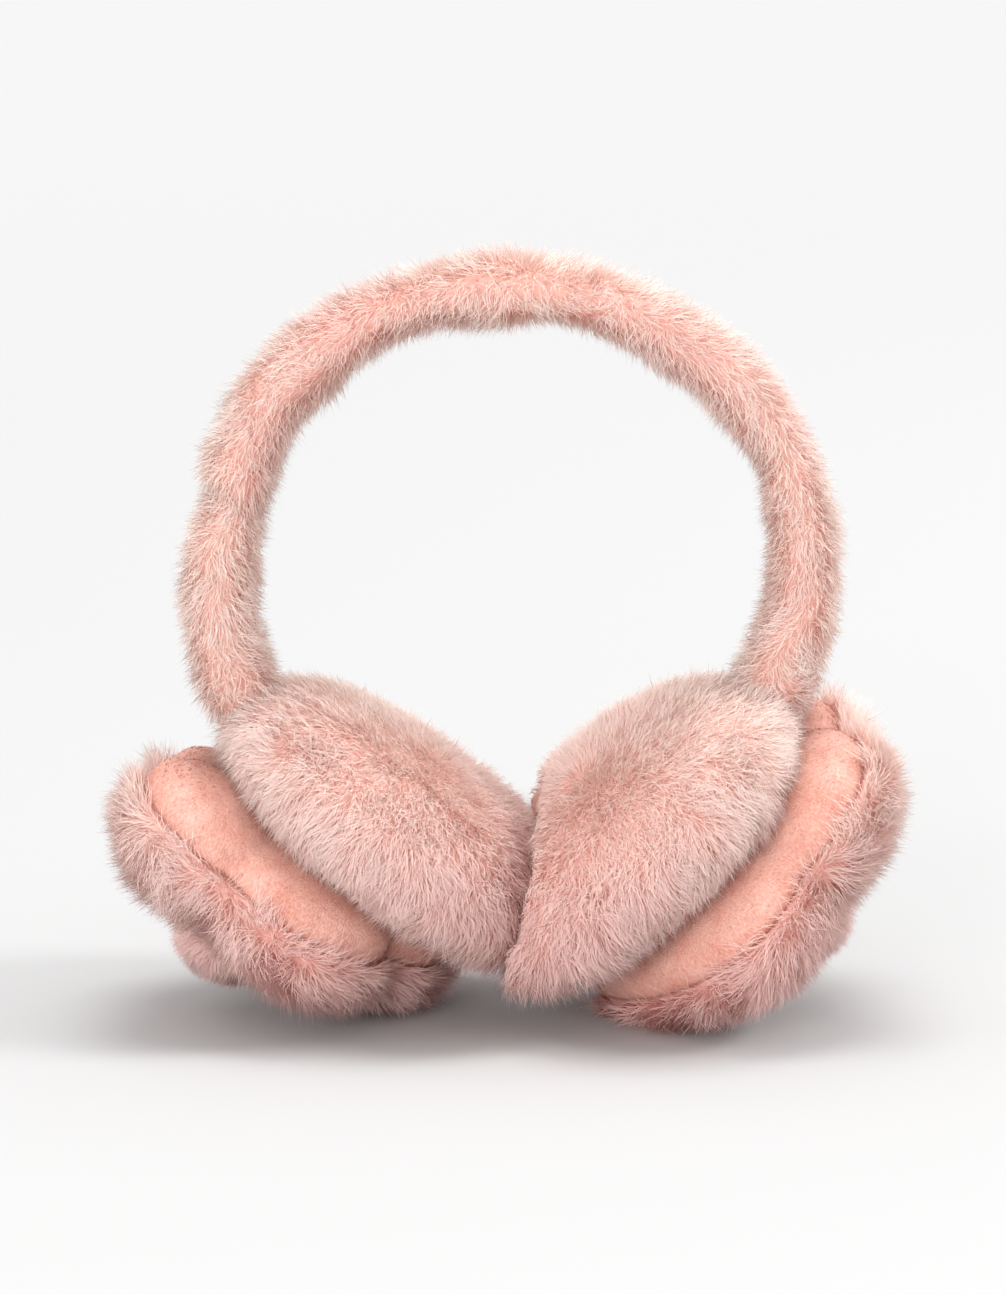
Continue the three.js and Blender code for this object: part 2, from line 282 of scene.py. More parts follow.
def seam_rise(z):
    """The seam between velour and fur is bent like the pad behind it."""
    return SEAM_BEND * (1 - (z / SEAM_RADIUS) ** 2)


def flower_point(ear, way, radius, height):
    """Half of a flower: t = RIM is the seam, t = 1 the middle. way: -1 velour back, 1 fur front."""
    def point(t, a, grow):
        full = fullness(a, ear)
        reach = (radius + grow) * petal_reach(a, ear)
        past = np.clip((t - RIM) / (1 - RIM), 0, 1) * math.pi / 2
        share = np.where(t < RIM, t / RIM, np.cos(past) ** 0.75)
        crown = np.where(t < RIM, 0, np.sin(past) ** 0.65)
        crease = 1 - PETAL_CREASE[way] * (1 - full) * smooth(share * 1.6)
        y = reach * share * np.cos(a)
        z = reach * share * np.sin(a)
        return np.stack([seam_rise(z) + way * crown * crease * (height + grow), y, z], axis=-1)
    return point


def velour_shape(ear):
    """The flower's velour back."""
    return placed(ear, flower_point(ear, -1, SEAM_RADIUS, BACK_HEIGHT))


def petal_ground(ear):
    """The backing of the flower's fur front, a little wider than the seam."""
    height = FRONT_HEIGHT - PETAL_GROUND
    return placed(ear, flower_point(ear, 1, SEAM_RADIUS + PETAL_OVERHANG, height))


def centre_point(t, a, grow):
    """The round tuft on the middle of the flower's fur front."""
    low = SEAM_BEND + 0.5 * FRONT_HEIGHT
    half = (CENTRE_HEIGHT - low) / 2 + 1 + grow
    radius = (CENTRE_RADIUS + grow) * np.sin(math.pi * t) ** 0.85
    x = (CENTRE_HEIGHT + low) / 2 - half * np.cos(math.pi * t)
    return np.stack([x, radius * np.cos(a), radius * np.sin(a)], axis=-1)


def placed(ear, point):
    """A shape of an ear, in the shapes' frame."""
    return lambda t, a, grow: out_of_ear(ear, point(t, a, grow))


# ---------------------------------------------------------------- what lies inside what

def meeting_distance(p):
    """How far points lie to the right of the plane in which the pads meet."""
    normal = turn_y(np.array([1.0, 0, 0]), MEETING_LEAN)
    return (p - np.array([0, 0, MEETING_HEIGHT])) @ normal


def side_of(ear):
    """-1 for the left ear, 1 for the right."""
    return -1 if ear["face"] == 180 else 1


def in_pad(ear, p, grow):
    """Whether points of the shapes' frame lie in the ear's pad."""
    local = into_ear(ear, p) - np.array([-ear["apart"], 0, -ear["drop"]])
    local = turn_y(local, -math.radians(ear["tilt"]))
    flat = np.abs(local[..., 0]) / (ear["thick"] / 2 + grow)
    wide = np.hypot(local[..., 1], local[..., 2]) / (ear["wide"] + grow)
    return flat ** PAD_SQUARENESS + wide ** PAD_SQUARENESS < 1


def in_flower(ear, p, grow):
    """Whether points of the shapes' frame lie in the ear's flower, back or front."""
    local = into_ear(ear, p)
    a = np.arctan2(local[..., 2], local[..., 1])
    wide = np.hypot(local[..., 1], local[..., 2]) / ((SEAM_RADIUS + grow) * petal_reach(a, ear))
    high = local[..., 0] - seam_rise(local[..., 2])
    limit = np.where(high < 0, BACK_HEIGHT + grow, FRONT_HEIGHT - 5 + grow)
    return (np.abs(high) / limit) ** 2.6 + wide ** 2.6 < 1


def in_band(p, grow):
    """Whether points lie in the headband's sleeve, tongues left out."""
    angle = np.arctan2(p[..., 0], p[..., 2] - BAND_HEIGHT)
    radius = np.hypot(p[..., 0], p[..., 2] - BAND_HEIGHT)
    lift = np.abs(radius - BAND_RADIUS) / (BAND_THICKNESS / 2 + grow)
    side = np.abs(p[..., 1]) / (BAND_DEPTH / 2 + grow)
    return (lift ** 2 + side ** 2 < 1) & (np.abs(angle) < BAND_SWEEP)


# ---------------------------------------------------------------- meshes

def skin_mesh(name, point, grow, rings, sides, settle):
    """A closed skin: a sphere whose vertices move to a shape's places and then settle."""
    body = bmesh.new()
    bmesh.ops.create_uvsphere(body, u_segments=sides, v_segments=rings + 1, radius=1.0)
    ball = np.array([vertex.co for vertex in body.verts])
    t = np.arctan2(np.hypot(ball[:, 0], ball[:, 1]), -ball[:, 2]) / math.pi
    a = np.arctan2(ball[:, 1], ball[:, 0])
    places = (settle(point(t, a, grow)) + SHIFT) * MM
    for vertex, place in zip(body.verts, places):
        vertex.co = place
    return finished_mesh(name, body)


def finished_mesh(name, body):
    """A mesh from a bmesh: doubles merged, faces turned outward, smooth."""
    bmesh.ops.remove_doubles(body, verts=body.verts, dist=1e-6)
    bmesh.ops.recalc_face_normals(body, faces=body.faces)
    for face in body.faces:
        face.smooth = True
    mesh = bpy.data.meshes.new(name)
    body.to_mesh(mesh)
    body.free()
    return mesh


def scatter(point, grow, count, rng, low, high):
    """Places (t, a) spread evenly over a shape's surface between two values of t."""
    rows, columns = 220, 240
    t = np.linspace(low, high, rows + 1)
    a = np.linspace(0, 2 * math.pi, columns + 1)
    grid = point(*np.meshgrid(t, a, indexing="ij"), grow)
    along = grid[1:, :-1] - grid[:-1, :-1]
    across = grid[:-1, 1:] - grid[:-1, :-1]
    area = np.linalg.norm(np.cross(along, across), axis=-1).ravel()
    cell = rng.choice(len(area), size=count, p=area / area.sum())
    row, column = np.divmod(cell, columns)
    step = (high - low) / rows
    t_at = low + (row + rng.random(count)) * step
    a_at = (column + rng.random(count)) * 2 * math.pi / columns
    return t_at, a_at


def frames_at(point, t, a, grow):
    """Places on a shape with the outward normal and the unit direction of growing t."""
    step = 0.003
    t_low = np.clip(t - step, 0.001, 0.999)
    t_high = np.clip(t + step, 0.001, 0.999)
    along = unit(point(t_high, a, grow) - point(t_low, a, grow))
    across = unit(point(t, a + step, grow) - point(t, a - step, grow))
    normal = unit(np.cross(along, across))
    here = point(t, a, grow)
    outward = point(t, a, grow + 1.0) - here
    flip = np.sign(np.einsum("ij,ij->i", normal, outward))
    flip[flip == 0] = 1
    return here, normal * flip[:, None], along


def clumps(roots, spacing, rng):
    """For each root the number of the guide strand whose tuft it belongs to."""
    spread = np.ptp(roots, axis=0)
    guides = rng.permutation(len(roots))[:max(8, int(len(roots) * spacing))]
    tree = kdtree.KDTree(len(guides))
    for number, guide in enumerate(guides):
        tree.insert(Vector(roots[guide]), number)
    tree.balance()
    wobble = roots + rng.normal(scale=0.006 * spread.max(), size=roots.shape)
    nearest = np.array([tree.find(Vector(p))[1] for p in wobble])
    return guides[nearest]


def grow_strands(roots, normals, lean, options, rng):
    """Strands from their roots: five points each, shading normals, and the tone along them.

    lean holds the direction that each strand is combed in. options: length, width, lay (0 upright
    to 1 flat), bend, scatter, wild (how much the comb wanders and tips gather), gather (how far
    tips are drawn to their tuft's tip), tufts (share of strands that lead one).
    """
    count = len(roots)
    wild = np.broadcast_to(options["wild"], count)[:, None]
    length = options["length"] * rng.uniform(0.7, 1.12, count)
    length *= 1 + 0.14 * ripple(roots, 14.0, 5)
    lay = np.clip(options["lay"] + 0.14 * ripple(roots, 11.0, 8), 0, 0.92)[:, None]
    comb = unit(lean) + wild * (0.45 * wander(roots, 30.0, 31) + 0.6 * wander(roots, 9.0, 47))
    comb = unit(comb - normals * np.einsum("ij,ij->i", comb, normals)[:, None])
    loose = options["scatter"] * rng.normal(size=(count, 3))
    start = unit(normals * (1 - lay) + comb * lay + loose)
    curl = options["bend"] * (comb + 0.8 * wild * wander(roots, 5.0, 61))
    end = unit(start + curl + 0.6 * options["scatter"] * rng.normal(size=(count, 3)))
    middle = roots + start * (0.5 * length)[:, None]
    tip = middle + end * (0.5 * length)[:, None]
    lead = clumps(roots, options["tufts"], rng)
    pull = options["gather"] * wild * rng.uniform(0.35, 1.0, count)[:, None]
    middle = mix(middle, middle[lead] + (roots - roots[lead]) * 0.75, 0.4 * pull)
    tip = mix(tip, tip[lead], pull)
    flow = unit(tip - roots)
    across = unit(np.cross(flow, normals))
    spin = rng.uniform(-1.1, 1.1, count)[:, None]
    across = across * np.cos(spin) + np.cross(flow, across) * np.sin(spin)
    face = np.cross(across, flow)
    turned = np.sign(np.einsum("ij,ij->i", face, normals))
    turned[turned == 0] = 1
    across *= turned[:, None]
    face *= turned[:, None]
    half = (options["width"] * rng.uniform(0.7, 1.15, count) / 2)[:, None]
    points = np.stack([
        roots - across * half, roots + across * half,
        middle - across * half * 0.85, middle + across * half * 0.85, tip,
    ], axis=1)
    shading = unit(normals * 0.72 + face * 0.28)
    up = unit(shading + 0.25 * flow)
    shades = np.stack([shading, shading, shading, shading, up], axis=1)
    tone = np.tile(np.array([0.0, 0.0, 0.55, 0.55, 1.0]), (count, 1))
    return points, shades, tone


def fur_object(name, base, strands, material):
    """One mesh of a fur piece: the skin that the pile is rooted in, and every strand."""
    base_count = len(base.vertices)
    base_co = np.empty(base_count * 3)
    base.vertices.foreach_get("co", base_co)
    base_normals = np.empty(base_count * 3)
    base.vertices.foreach_get("normal", base_normals)
    base_loops = np.empty(len(base.loops), dtype=np.int64)
    base.loops.foreach_get("vertex_index", base_loops)
    base_totals = np.empty(len(base.polygons), dtype=np.int64)
    base.polygons.foreach_get("loop_total", base_totals)

    points, shades, tone = strands
    count = len(points)
    co = (points.reshape(-1, 3) + SHIFT) * MM
    co[:, 2] = np.maximum(co[:, 2], FLOOR_CLEAR * MM)
    first = base_count + 5 * np.arange(count)
    pattern = np.array([0, 1, 3, 2, 2, 3, 4])
    loops = (first[:, None] + pattern[None, :]).ravel()
    totals = np.tile(np.array([4, 3]), count)

    mesh = bpy.data.meshes.new(name)
    mesh.vertices.add(base_count + 5 * count)
    mesh.vertices.foreach_set("co", np.concatenate([base_co, co.ravel()]))
    all_loops = np.concatenate([base_loops, loops])
    all_totals = np.concatenate([base_totals, totals])
    mesh.loops.add(len(all_loops))
    mesh.loops.foreach_set("vertex_index", all_loops)
    mesh.polygons.add(len(all_totals))
    mesh.polygons.foreach_set("loop_start", np.concatenate([[0], np.cumsum(all_totals)[:-1]]))
    mesh.polygons.foreach_set("loop_total", all_totals)
    mesh.update(calc_edges=True)
    mesh.validate()
    mesh.polygons.foreach_set("use_smooth", np.ones(len(mesh.polygons), dtype=bool))
    normals = np.concatenate([base_normals.reshape(-1, 3), shades.reshape(-1, 3)])
    mesh.normals_split_custom_set_from_vertices([tuple(n) for n in normals])

    own_shade = np.repeat(np.random.default_rng(len(name)).random(count), 5)
    store(mesh, "tone", np.concatenate([np.zeros(base_count), tone.ravel()]))
    store(mesh, "shade", np.concatenate([np.full(base_count, 0.5), own_shade]))
    bpy.data.meshes.remove(base)
    return add_object(name, mesh, material)


def store(mesh, name, values):
    """A number on each vertex, for the material to read."""
    layer = mesh.attributes.new(name, "FLOAT", "POINT")
    layer.data.foreach_set("value", values.astype(np.float32))


def store_ear_place(mesh, ear):
    """Each vertex's place in its ear's frame, in metres, so that grain lies alike on both ears."""
    co = np.empty(len(mesh.vertices) * 3, dtype=np.float32)
    mesh.vertices.foreach_get("co", co)
    local = into_ear(ear, co.reshape(-1, 3) / MM - SHIFT) * MM
    layer = mesh.attributes.new("ear_place", "FLOAT_VECTOR", "POINT")
    layer.data.foreach_set("vector", local.astype(np.float32).ravel())


def add_object(name, mesh, material):
    """A piece in the scene with its material."""
    piece = bpy.data.objects.new(name, mesh)
    bpy.context.scene.collection.objects.link(piece)
    mesh.materials.append(material)
    return piece


def hand_over(piece, node):
    """Hang a padded piece on the root body and hide the part that it stands for."""
    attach(piece, "root")
    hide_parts(node)


# ---------------------------------------------------------------- materials

def linear(code):
    """An sRGB hex colour as linear red, green, blue and alpha."""
    values = [int(code[i:i + 2], 16) / 255 for i in (1, 3, 5)]
    return [v / 12.92 if v <= 0.04045 else ((v + 0.055) / 1.055) ** 2.4 for v in values] + [1.0]


def node(tree, kind, settings=None, links=None):
    """A node with its settings, by attribute or by input name, and its incoming links."""
    new = tree.nodes.new(kind)
    for key, value in (settings or {}).items():
        if isinstance(key, int) or key in new.inputs:
            new.inputs[key].default_value = value
        else:
            setattr(new, key, value)
    for key, source in (links or {}).items():
        tree.links.new(source, new.inputs[key])
    return new


def blank_material(name):
    """A material with its Principled surface and nothing else."""
    material = bpy.data.materials.new(name)
    material.use_nodes = True
    tree = material.node_tree
    tree.nodes.clear()
    surface = tree.nodes.new("ShaderNodeBsdfPrincipled")
    output = tree.nodes.new("ShaderNodeOutputMaterial")
    tree.links.new(surface.outputs["BSDF"], output.inputs["Surface"])
    return material, tree, surface


def ramp(tree, factor, stops):
    """A colour ramp over a value."""
    new = node(tree, "ShaderNodeValToRGB", links={"Fac": factor})
    elements = new.color_ramp.elements
    while len(elements) < len(stops):
        elements.new(0.5)
    for element, (place, colour) in zip(elements, stops):
        element.position = place
        element.color = linear(colour)
    return new.outputs["Color"]


def fur_material(name, root, middle, tip, patch_and_low_shade_tint):
    """Faux fur: acrylic pile with painted shade and light: darker at the root where the pile shades
    itself, near white at the tip as a painted sheen on lit tips, and darker and pinker low down as
    painted shade.
    """
    material, tree, surface = blank_material(name)
    tone = node(tree, "ShaderNodeAttribute", {"attribute_name": "tone"}).outputs["Fac"]
    shade = node(tree, "ShaderNodeAttribute", {"attribute_name": "shade"}).outputs["Fac"]
    place = node(tree, "ShaderNodeTexCoord").outputs["Object"]
    # Painted shade and highlight: the ramp darkens the root, where the pile shades itself, and
    # whitens the tip to stand in for the sheen of lit tips
    along = ramp(tree, tone, [(0.0, root), (0.5, middle), (1.0, tip)])
    # Patches of 30 mm where the pile is a little redder
    patches = node(tree, "ShaderNodeTexNoise", {"Scale": 33.0, "Detail": 2.0},
                   {"Vector": place}).outputs["Fac"]
    patched = node(tree, "ShaderNodeMapRange", {"From Min": 0.35, "From Max": 0.75,
                                                "To Min": 0.0, "To Max": 0.3}, {"Value": patches})
    # Painted shade: below 9 cm the pile is tinted darker and pinker for the shade low down; the
    # same tint also colours the redder patches
    height = node(tree, "ShaderNodeSeparateXYZ", links={"Vector": place}).outputs["Z"]
    low = node(tree, "ShaderNodeMapRange", {"From Min": 0.09, "From Max": 0.0,
                                            "To Min": 0.0, "To Max": 0.75}, {"Value": height})
    patch_and_shade_share = node(tree, "ShaderNodeMath", {"operation": "MAXIMUM"},
                  {0: patched.outputs["Result"], 1: low.outputs["Result"]}).outputs["Value"]
    patched_and_low_shaded = node(tree, "ShaderNodeMix", {
        "data_type": "RGBA", "blend_type": "MULTIPLY", 7: linear(patch_and_low_shade_tint)}, {0: patch_and_shade_share, 6: along})
    # Single strands differ a little in brightness
    value = node(tree, "ShaderNodeMapRange", {"To Min": 0.94, "To Max": 1.05}, {"Value": shade})
    varied = node(tree, "ShaderNodeHueSaturation", links={
        "Color": patched_and_low_shaded.outputs[2], "Value": value.outputs["Result"]})
    tree.links.new(varied.outputs["Color"], surface.inputs["Base Color"])
    surface.inputs["Roughness"].default_value = 0.6
    surface.inputs["Specular IOR Level"].default_value = 0.25
    # Thin fibres pass on part of the light that falls on them
    through = node(tree, "ShaderNodeBsdfTranslucent", links={"Color": varied.outputs["Color"]})
    both = node(tree, "ShaderNodeMixShader", {0: 0.3}, {
        1: surface.outputs["BSDF"], 2: through.outputs["BSDF"]})
    output = next(n for n in tree.nodes if n.type == "OUTPUT_MATERIAL")
    tree.links.new(both.outputs["Shader"], output.inputs["Surface"])
    return material


def velour_material(name, deep, light):
    """Plush velour: a brushed polyester pile of about 1 mm that shows as short grains."""
    material, tree, surface = blank_material(name)
    tone = node(tree, "ShaderNodeAttribute", {"attribute_name": "tone"}).outputs["Fac"]
    shade = node(tree, "ShaderNodeAttribute", {"attribute_name": "shade"}).outputs["Fac"]
    place = node(tree, "ShaderNodeAttribute", {"attribute_name": "ear_place"}).outputs["Vector"]
    # Grains of 0.5 mm, drawn out from the seam towards the pad
    stretched = node(tree, "ShaderNodeMapping", {"Scale": (0.4, 1.0, 1.0)}, {"Vector": place})
    grain = node(tree, "ShaderNodeTexNoise", {"Scale": 2100.0, "Detail": 2.0, "Roughness": 0.6},
                 {"Vector": stretched.outputs["Vector"]}).outputs["Fac"]
    # Patches of 9 mm where the nap lies the other way
    nap = node(tree, "ShaderNodeTexNoise", {"Scale": 110.0, "Detail": 3.0},
               {"Vector": place}).outputs["Fac"]
    both = node(tree, "ShaderNodeMath", {"operation": "MULTIPLY_ADD", 1: 1.7},
                {0: grain, 2: nap}).outputs["Value"]
    lifted = node(tree, "ShaderNodeMath", {"operation": "MULTIPLY_ADD", 1: 0.2},
                  {0: tone, 2: both}).outputs["Value"]
    colour = ramp(tree, node(tree, "ShaderNodeMath", {"operation": "MULTIPLY", 1: 0.37},
                             {0: lifted}).outputs["Value"], [(0.32, deep), (0.68, light)])
    value = node(tree, "ShaderNodeMapRange", {"To Min": 0.92, "To Max": 1.06}, {"Value": shade})
    varied = node(tree, "ShaderNodeHueSaturation", links={
        "Color": colour, "Value": value.outputs["Result"]})
    bump = node(tree, "ShaderNodeBump", {"Strength": 0.8, "Distance": 0.0006}, {"Height": grain})
    tree.links.new(varied.outputs["Color"], surface.inputs["Base Color"])
    tree.links.new(bump.outputs["Normal"], surface.inputs["Normal"])
    surface.inputs["Roughness"].default_value = 0.8
    surface.inputs["Specular IOR Level"].default_value = 0.2
    surface.inputs["Sheen Weight"].default_value = 0.35
    surface.inputs["Sheen Roughness"].default_value = 0.4
    surface.inputs["Sheen Tint"].default_value = linear("#ffd9cc")
    return material


def thread_material(name, colour):
    """Sewing thread: spun polyester, matt, with faint specks where the twist catches light."""
    material, tree, surface = blank_material(name)
    place = node(tree, "ShaderNodeTexCoord").outputs["Object"]
    # Specks of 2 mm
    specks = node(tree, "ShaderNodeTexNoise", {"Scale": 500.0, "Detail": 2.0},
                  {"Vector": place}).outputs["Fac"]
    value = node(tree, "ShaderNodeMapRange", {"To Min": 0.8, "To Max": 1.2}, {"Value": specks})
    varied = node(tree, "ShaderNodeHueSaturation", {"Color": linear(colour)},
                  {"Value": value.outputs["Result"]})
    tree.links.new(varied.outputs["Color"], surface.inputs["Base Color"])
    surface.inputs["Roughness"].default_value = 0.8
    return material


def made(name, maker, *args):
    """A material made once and shared after that."""
    return bpy.data.materials.get(name) or maker(name, *args)


def fur_finish(settings):
    """The material that all fur pieces share."""
    return made("faux_fur", fur_material,
                settings.root, settings.middle, settings.tip, settings.patch_and_low_shade_tint)


# ---------------------------------------------------------------- settings

def strand_count(full):
    return full


class FurSettings(bpy.types.PropertyGroup):
    """Sizes and colours of the long pile."""
    # Painted shade: the root colour stands for the shade deep in the pile
    root: bpy.props.StringProperty(
        name="Root", description="Colour at the root", default="#f3c5b7")
    middle: bpy.props.StringProperty(
        name="Middle", description="Colour half way", default="#f8e3d9")
    # Painted highlight: the tip colour is whitened for the sheen of lit tips
    tip: bpy.props.StringProperty(
        name="Tip", description="Colour at the tip", default="#fdf6f1")
    # Painted shade: the low tint darkens the pile towards the floor, and it also colours the redder
    # patches
    patch_and_low_shade_tint: bpy.props.StringProperty(
        name="Low tint", description="Tint low down", default="#f7d0d2")
    pad_length: bpy.props.FloatProperty(
        name="Pad pile", description="Length of the pads' pile in mm",
        default=8.8, min=3, max=20)
    petal_length: bpy.props.FloatProperty(
        name="Petal pile", description="Length of the flowers' pile in mm",
        default=9.5, min=3, max=20)
    band_length: bpy.props.FloatProperty(
        name="Band pile", description="Length of the sleeve's pile in mm",
        default=7.0, min=3, max=20)
    width: bpy.props.FloatProperty(
        name="Strand", description="Width of a strand in mm", default=0.21, min=0.1, max=1)


class VelourSettings(bpy.types.PropertyGroup):
    """Colours of the velour and its seam."""
    deep: bpy.props.StringProperty(
        name="Deep", description="Colour in the grain", default="#cc8472")
    light: bpy.props.StringProperty(
        name="Light", description="Colour of the tips", default="#e8baac")
    thread: bpy.props.StringProperty(
        name="Thread", description="Colour of the seam", default="#b07a70")
    pile: bpy.props.FloatProperty(
        name="Pile", description="Length of the velour's pile in mm",
        default=1.0, min=0.3, max=4)


class StageSettings(bpy.types.PropertyGroup):
    """The camera and the floor."""
    elevation: bpy.props.FloatProperty(
        name="Elevation", description="Height angle of the camera", default=math.radians(9),
        subtype="ANGLE", unit="ROTATION")
    distance: bpy.props.FloatProperty(
        name="Distance", description="From the camera to its aim", default=1.2, unit="LENGTH")
    lens: bpy.props.FloatProperty(name="Lens", description="Focal length in mm", default=159.0)
    floor: bpy.props.StringProperty(
        name="Floor", description="Colour of the floor", default="#bfbfbf")


# ---------------------------------------------------------------- pieces

def band_strands(settings, rng):
    """Pile of the sleeve, combed along the arch."""
    t, a = scatter(band_point, -BAND_GROUND, strand_count(BAND_STRANDS), rng, 0.045, 0.955)
    roots, normals, along = frames_at(band_point, t, a, -BAND_GROUND)
    keep = ~(in_pad(EARS["left"], roots, -3) | in_pad(EARS["right"], roots, -3))
    roots, normals, along, t = roots[keep], normals[keep], along[keep], t[keep]
    comb = along * (2 * smooth((t - 0.4) / 0.2) - 1)[:, None]
    comb += np.array([0, -0.2, -0.2])
    return grow_strands(roots, normals, comb, {
        "length": settings.band_length, "width": settings.width, "lay": 0.45, "bend": 0.4,
        "scatter": 0.32, "wild": 0.9, "gather": 0.15, "tufts": 0.12}, rng)


class EARMUFFS_OT_headband(bpy.types.Operator):
    """Make the fur-sleeved headband"""
    bl_idname = "earmuffs.headband"
    bl_label = "Headband"

    def execute(self, context):
        settings = context.scene.earmuffs_fur
        rng = np.random.default_rng(11)
        skin = skin_mesh("headband_skin", band_point, -BAND_GROUND, 150, 28, on_floor)
        piece = fur_object("headband_fur", skin, band_strands(settings, rng), fur_finish(settings))
        hand_over(piece, "headband")
        return {"FINISHED"}


def pad_strands(ear, settings, rng):
    """Pile of an ear pad: short and smooth on the ear side, longer and tufted over the edge."""
    ground = pad_ground(ear)
    t, a = scatter(ground, 0, strand_count(PAD_STRANDS), rng, 0.0, 0.76)
    roots, normals, along = frames_at(ground, t, a, 0)
    side = side_of(ear)
    free = side * meeting_distance(roots) > 0.6
    keep = free & ~in_flower(ear, roots, 1.5) & ~in_band(roots, -5)
    roots, normals, along, t = roots[keep], normals[keep], along[keep], t[keep]
    edge = smooth((t - 0.24) / 0.22)
    low = edge * smooth((40 - roots[:, 2]) / 30)
    comb = along + np.array([0, 0, -1]) * mix(0.15, 0.7, edge)[:, None]
    points, shades, tone = grow_strands(roots, normals, comb, {
        "length": settings.pad_length * mix(0.68, 1.0, edge) * mix(1.0, 1.25, low),
        "width": settings.width, "lay": mix(0.7, 0.5, edge), "bend": 0.45, "scatter": 0.32,
        "wild": mix(0.25, 0.85, edge) + 0.7 * edge * smooth((60 - roots[:, 2]) / 35),
        "gather": 0.15, "tufts": 0.12}, rng)
    return meet(points, side, -0.8), shades, tone


def meet(points, side, gap):
    """Points that would cross the wavy face between the pads, laid back on it."""
    normal = turn_y(np.array([1.0, 0, 0]), MEETING_LEAN)
    wave = 1.3 * ripple(points, 7.0, 77)
    over = np.minimum(side * (meeting_distance(points) - wave) - gap, 0)
    return points - (side * over)[..., None] * normal


class EARMUFFS_OT_pads(bpy.types.Operator):
    """Make the two fur ear pads"""
    bl_idname = "earmuffs.pads"
    bl_label = "Ear pads"

    def execute(self, context):
        settings = context.scene.earmuffs_fur
        for name, ear in EARS.items():
            rng = np.random.default_rng(20 + ear["seed"])
            side = side_of(ear)
            skin = skin_mesh("pad_skin", pad_ground(ear), 0, 40, 72,
                             lambda points: meet(points, side, 1.2))
            strands = pad_strands(ear, settings, rng)
            piece = fur_object(f"ear_pad_{name}_fur", skin, strands, fur_finish(settings))
            hand_over(piece, f"ear_pad_{name}")
        return {"FINISHED"}


def petal_strands(ear, settings, rng):
    """Pile of a flower's fur front, splayed out from the seam."""
    point = petal_ground(ear)
    t, a = scatter(point, 0, strand_count(PETAL_STRANDS), rng, RIM, 0.995)
    roots, normals, _ = frames_at(point, t, a, 0)
    local = into_ear(ear, roots)
    spread = unit(local * np.array([0, 1, 1]))
    spread = out_of_ear(ear, spread) - out_of_ear(ear, np.zeros(3))
    keep = roots[:, 2] + SHIFT[2] > 0.5
    roots, normals, spread, t = roots[keep], normals[keep], spread[keep], t[keep]
    # Beside the seam the pile turns back over the velour's edge
    outward = out_of_ear(ear, np.array([1.0, 0, 0])) - out_of_ear(ear, np.zeros(3))
    rim = 1 - smooth((t - RIM) / 0.07)
    comb = spread + np.array([0, 0, -0.35]) - outward * (1.5 * rim)[:, None]
    return grow_strands(roots, normals, comb, {
        "length": settings.petal_length, "width": settings.width, "lay": 0.45, "bend": 0.4,
        "scatter": 0.32, "wild": 1.0, "gather": 0.18, "tufts": 0.12}, rng)


def on_floor(points):
    """Points of a skin that would lie under the floor, pressed flat on it."""
    points = points.copy()
    points[..., 2] = np.maximum(points[..., 2], FLOOR_CLEAR - SHIFT[2])
    return points


class EARMUFFS_OT_fronts(bpy.types.Operator):
    """Make the fur fronts of the flowers"""
    bl_idname = "earmuffs.fronts"
    bl_label = "Flower fronts"

    def execute(self, context):
        settings = context.scene.earmuffs_fur
        for name, ear in EARS.items():
            rng = np.random.default_rng(40 + ear["seed"])
            skin = skin_mesh("front_skin", petal_ground(ear), 0, 44, 110, on_floor)
            strands = petal_strands(ear, settings, rng)
            piece = fur_object(f"flower_front_{name}_fur", skin, strands, fur_finish(settings))
            hand_over(piece, f"flower_front_{name}")
        return {"FINISHED"}


class EARMUFFS_OT_centres(bpy.types.Operator):
    """Make the fur centres of the flowers"""
    bl_idname = "earmuffs.centres"
    bl_label = "Flower centres"

    def execute(self, context):
        settings = context.scene.earmuffs_fur
        for name, ear in EARS.items():
            rng = np.random.default_rng(60 + ear["seed"])
            shape = placed(ear, centre_point)
            t, a = scatter(shape, -CENTRE_GROUND, strand_count(CENTRE_STRANDS), rng, 0.35, 1.0)
            roots, normals, _ = frames_at(shape, t, a, -CENTRE_GROUND)
            strands = grow_strands(roots, normals, normals * 0.2 + np.array([0, 0, -0.6]), {
                "length": 7.0, "width": settings.width, "lay": 0.3, "bend": 0.3,
                "scatter": 0.17, "wild": 1.0, "gather": 0.5, "tufts": 0.05}, rng)
            skin = skin_mesh("centre_skin", shape, -CENTRE_GROUND, 16, 32, on_floor)
            piece = fur_object(f"flower_centre_{name}_fur", skin, strands, fur_finish(settings))
            hand_over(piece, f"flower_centre_{name}")
        return {"FINISHED"}


def nap_strands(ear, settings, rng):
    """The velour's short pile."""
    point = velour_shape(ear)
    t, a = scatter(point, 0, strand_count(NAP_STRANDS), rng, RIM, 0.9)
    roots, normals, along = frames_at(point, t, a, 0)
    keep = ~in_pad(ear, roots, -4) & (roots[:, 2] + SHIFT[2] > 0.5)
    roots, normals, along = roots[keep], normals[keep], along[keep]
    return grow_strands(roots, normals, along * 0.3 + np.array([0, 0, -0.7]), {
        "length": settings.pile, "width": 0.2, "lay": 0.75, "bend": 0.2,
        "scatter": 0.2, "wild": 0.3, "gather": 0.0, "tufts": 0.02}, rng)


